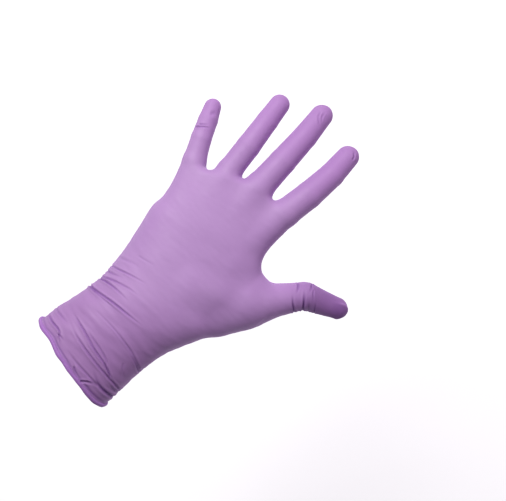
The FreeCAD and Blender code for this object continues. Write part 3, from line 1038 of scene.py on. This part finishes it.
def finish_film(piece, places, hollow, dark, film):
    """Gives a piece its material and the numbers that the material reads."""
    add_attribute(piece, "tint", tint_share(places))
    add_attribute(piece, "grip", grip_share(places))
    # How deep the creases are, which the material paints as shade
    add_attribute(piece, "crease", np.minimum(hollow, 1.0))
    # How dark the film is painted over the digits' ends: the nail, and on the thumb painted shade
    add_attribute(piece, "nail", dark)
    # The cuff's share of the darker colour, partly the film's own and partly painted shade
    cuff = 1 - smooth_step((places[:, 1] - CUFF_COLOUR_END) / CUFF_COLOUR_FADE)
    add_attribute(piece, "slack", cuff)
    piece.data.materials.append(film)


def join_film(piece, name):
    """Puts the cuff and palm film on their bodies and hides those nodes; the wrist and digit film stay
    where they stand.
    """
    if name == "cuff_film":
        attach(piece, "cuff")
        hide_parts("cuff")
    elif name in ("palm_film", "knuckle_film"):
        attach(piece, "palm")
        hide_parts("palm")
    elif name == "wrist_film":
        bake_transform(piece)
    else:
        digit, _, station = name.split("_")
        bend(piece, digit, int(station) - 1)


def make_glove(film, roll):
    """The glove's pieces, some on their bodies and the rest where they stand, with the rolled edge on
    the cuff.
    """
    mesh, hollow, dark = make_skin()
    points, normals, start, length, corner = mesh_arrays(mesh)
    polygons = np.split(corner, start[1:])
    centres = np.add.reduceat(points[corner], start, axis=0) / length[:, None]
    names, number = piece_numbers(centres)
    for index, name in enumerate(names):
        chosen = [polygons[i] for i in np.nonzero(number == index)[0]]
        piece, places, source, edges = shell(name, points, normals, chosen)
        finish_film(piece, places, hollow[source], dark[source], film)
        join_film(piece, name)
        if name == "cuff_film":
            ring = ordered_ring([edge for edge in edges if points[edge[0]] @ RIM_NORMAL < RIM_REACH])
            bead = make_bead(points[ring], normals[ring])
    bead.data.materials.append(roll)
    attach(bead, "cuff")
    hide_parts("cuff_bead")
    bpy.data.meshes.remove(mesh)


# The stage, in metres: half the floor's side and its height, and the point that the lights face
FLOOR_HALF, FLOOR_HEIGHT = 6.0, -0.50
MIDDLE = (0.03, 0.13, 0.0)

# Each light's place, the point it is aimed at, its size, power in watts, and colour
LIGHTS = {
    "key": ((-0.46, 0.30, 0.62), MIDDLE, 0.35, 6.2, (1.0, 0.98, 0.98)),
    "fill": ((0.10, 0.50, 1.10), MIDDLE, 0.9, 1.2, (0.97, 0.97, 1.0)),
    "rim": ((0.30, 0.55, 0.25), (0.0, 0.18, 0.0), 0.4, 0.5, (1.0, 0.68, 0.98)),
}


def make_floor():
    """A plain pale floor, well below the glove, which is held up by its cuff."""
    mesh = bpy.data.meshes.new("floor")
    sides = ((-1, -1), (1, -1), (1, 1), (-1, 1))
    corners = [(x * FLOOR_HALF, y * FLOOR_HALF, FLOOR_HEIGHT) for x, y in sides]
    mesh.from_pydata(corners, [], [(0, 1, 2, 3)])
    floor = bpy.data.objects.new("floor", mesh)
    bpy.context.scene.collection.objects.link(floor)
    nodes = Nodes("floor_paint")
    tone = nodes.mix(nodes.noise(3, 2), (0.90, 0.90, 0.90), (0.93, 0.93, 0.93))
    nodes.link(tone, nodes.shader.inputs["Base Color"])
    nodes.shader.inputs["Roughness"].default_value = 0.9
    nodes.shader.inputs["Emission Color"].default_value = (1.0, 1.0, 1.0, 1.0)
    nodes.shader.inputs["Emission Strength"].default_value = 0.68
    floor.data.materials.append(nodes.material)


def add_light(name, place, target, size, power, colour):
    """A soft square light aimed at a point."""
    data = bpy.data.lights.new(name, "AREA")
    data.size, data.energy, data.color = size, power, colour
    light = bpy.data.objects.new(name, data)
    light.location = place
    light.rotation_euler = (Vector(target) - Vector(place)).to_track_quat("-Z", "Y").to_euler()
    bpy.context.scene.collection.objects.link(light)


def make_lights():
    """Soft studio light from the little finger's side and above, with a weak fill and rim light."""
    for name, settings in LIGHTS.items():
        add_light(name, *settings)
    world = bpy.data.worlds.new("studio")
    world.use_nodes = True
    background = world.node_tree.nodes["Background"]
    background.inputs["Color"].default_value = (0.85, 0.66, 1.0, 1)
    background.inputs["Strength"].default_value = 0.10
    bpy.context.scene.world = world
    bpy.context.scene.view_settings.view_transform = "Standard"


# The camera's height over the glove, and the width and the middle of what it sees there, in metres
CAMERA_HEIGHT = 0.55
VIEW_WIDTH = 0.3388
VIEW_CENTRE = (0.0318, 0.1379)


def make_camera():
    """Straight down on the back of the hand, turned so that the fingers point up and right."""
    data = bpy.data.cameras.new("camera")
    data.lens = data.sensor_width * CAMERA_HEIGHT / VIEW_WIDTH
    camera = bpy.data.objects.new("camera", data)
    right, up, back = Vector((1, 1, 0)).normalized(), Vector((-1, 1, 0)).normalized(), Vector((0, 0, 1))
    turn = Matrix((right, up, back)).transposed().to_4x4()
    camera.matrix_world = Matrix.Translation((*VIEW_CENTRE, CAMERA_HEIGHT)) @ turn
    bpy.context.scene.collection.objects.link(camera)
    bpy.context.scene.camera = camera


film_material = nitrile("nitrile_film", HAND, DIGIT, CUFF_FILM_AND_SHADE)
roll_material = nitrile("nitrile_roll", ROLL, ROLL, ROLL)
make_glove(film_material, roll_material)
make_floor()
make_lights()
make_camera()
